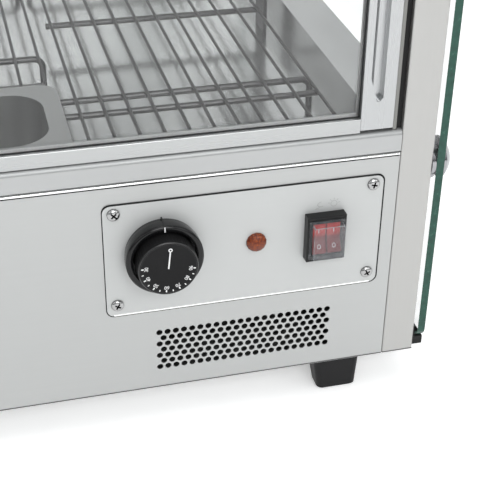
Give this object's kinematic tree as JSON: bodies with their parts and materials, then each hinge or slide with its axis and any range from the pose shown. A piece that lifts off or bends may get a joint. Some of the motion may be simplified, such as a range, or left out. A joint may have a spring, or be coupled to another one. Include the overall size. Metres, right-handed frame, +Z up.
{
  "type": "food holding cabinet",
  "caption": "Heated countertop food display with curved guest glass, sliding service doors, wire shelves, humidity pan and a thermostat and switch panel.",
  "frame": {"origin": "centre of the footprint on the plane of the feet", "axes": "+X along the service side to the right of someone standing at the controls, +Y from the service side to the guest side, +Z up"},
  "size_m": [0.702, 0.5728, 0.686],
  "materials": {
    "brushed_steel": "fine horizontal brush, satin",
    "post_steel": "fine vertical brush, satin, slightly warmer",
    "plate_steel": "fine horizontal brush, satin",
    "polished_steel": "mirror polished",
    "pan_steel": "drawn, satin",
    "wire_chrome": "bright wire, slightly dulled",
    "dark_bar": "dark satin coat",
    "element_sheath": "heat darkened",
    "aluminium_frame": "brushed, clear anodised",
    "black_rubber": "matte",
    "glide_nylon": "natural nylon",
    "clear_glass": "clear with green edges",
    "chrome_cap": "polished",
    "screw_steel": "bright zinc",
    "black_plastic": "fine satin",
    "foot_rubber": "matte",
    "amber_lens": "faceted, translucent",
    "red_rocker": "glossy, translucent",
    "clear_cover": "clear flexible cover",
    "lamp_white": "white tube with end caps",
    "lamp_opal": "opal"
  },
  "bodies": {
    "cabinet": {"side_skin_left": "brushed_steel", "side_skin_right": "brushed_steel", "customer_fascia": "brushed_steel", "operator_fascia": "brushed_steel", "base_floor": "brushed_steel", "roof_cover": "brushed_steel", "ceiling_liner": "brushed_steel", "front_glass_channel": "brushed_steel", "corner_post_left": "post_steel", "corner_post_right": "post_steel", "control_plate": "plate_steel", "deck_tray": "polished_steel", "pan_collar": "polished_steel", "rack_left": "wire_chrome", "rack_right": "wire_chrome", "rack_middle": "wire_chrome", "wire_shelf_lower": "wire_chrome", "wire_shelf_upper": "wire_chrome", "uprights": "dark_bar", "shelf_brackets": "dark_bar", "heating_elements": "element_sheath", "door_sill": "aluminium_frame", "door_head_track": "aluminium_frame", "jamb_channels": "aluminium_frame", "jamb_seals": "black_rubber", "glass_rest_pads": "black_rubber", "front_glass": "clear_glass", "side_glass_left": "clear_glass", "side_glass_right": "clear_glass", "glass_caps": "chrome_cap", "glass_spacers": "chrome_cap", "plate_screws": "screw_steel", "knob_bezel": "black_plastic", "switch_frame": "black_plastic", "thermostat_body": "black_plastic", "cable_gland": "black_plastic", "feet": "foot_rubber", "pilot_lens": "amber_lens", "splash_cover": "clear_cover", "lamp_tube": "lamp_white", "lamp_diffuser": "lamp_opal"},
    "door_right": {"door_right_handle_stile": "aluminium_frame", "door_right_meeting_stile": "aluminium_frame", "door_right_bottom_rail": "aluminium_frame", "door_right_top_rail": "aluminium_frame", "door_right_glass": "clear_glass", "door_right_gasket": "black_rubber", "door_right_glides": "glide_nylon"},
    "door_left": {"door_left_handle_stile": "aluminium_frame", "door_left_meeting_stile": "aluminium_frame", "door_left_bottom_rail": "aluminium_frame", "door_left_top_rail": "aluminium_frame", "door_left_glass": "clear_glass", "door_left_gasket": "black_rubber", "door_left_glides": "glide_nylon"},
    "knob": {"thermostat_knob": "black_plastic"},
    "switch_paddle_left": {"rocker_left": "red_rocker"},
    "switch_paddle_right": {"rocker_right": "red_rocker"},
    "humidity_pan": {"water_pan": "pan_steel"}
  },
  "joints": [
    {"name": "door_right_slide", "type": "slide", "parent": "cabinet", "child": "door_right", "axis": [1, 0, 0], "range_m": [-0.285, 0]},
    {"name": "door_left_slide", "type": "slide", "parent": "cabinet", "child": "door_left", "axis": [1, 0, 0], "range_m": [0, 0.285]},
    {"name": "thermostat_turn", "type": "hinge", "parent": "cabinet", "child": "knob", "pos_m": [0.1382, -0.262, 0.152], "axis": [0, 1, 0], "range_deg": [-6, 270]},
    {"name": "switch_left_rock", "type": "hinge", "parent": "cabinet", "child": "switch_paddle_left", "pos_m": [0.24865, -0.266, 0.1499], "axis": [1, 0, 0], "range_deg": [0, 20]},
    {"name": "switch_right_rock", "type": "hinge", "parent": "cabinet", "child": "switch_paddle_right", "pos_m": [0.25955, -0.266, 0.1499], "axis": [1, 0, 0], "range_deg": [0, 20]},
    {"name": "water_pan_lift", "type": "slide", "parent": "cabinet", "child": "humidity_pan", "axis": [0, 0, 1], "range_m": [0, 0.095]}
  ]
}
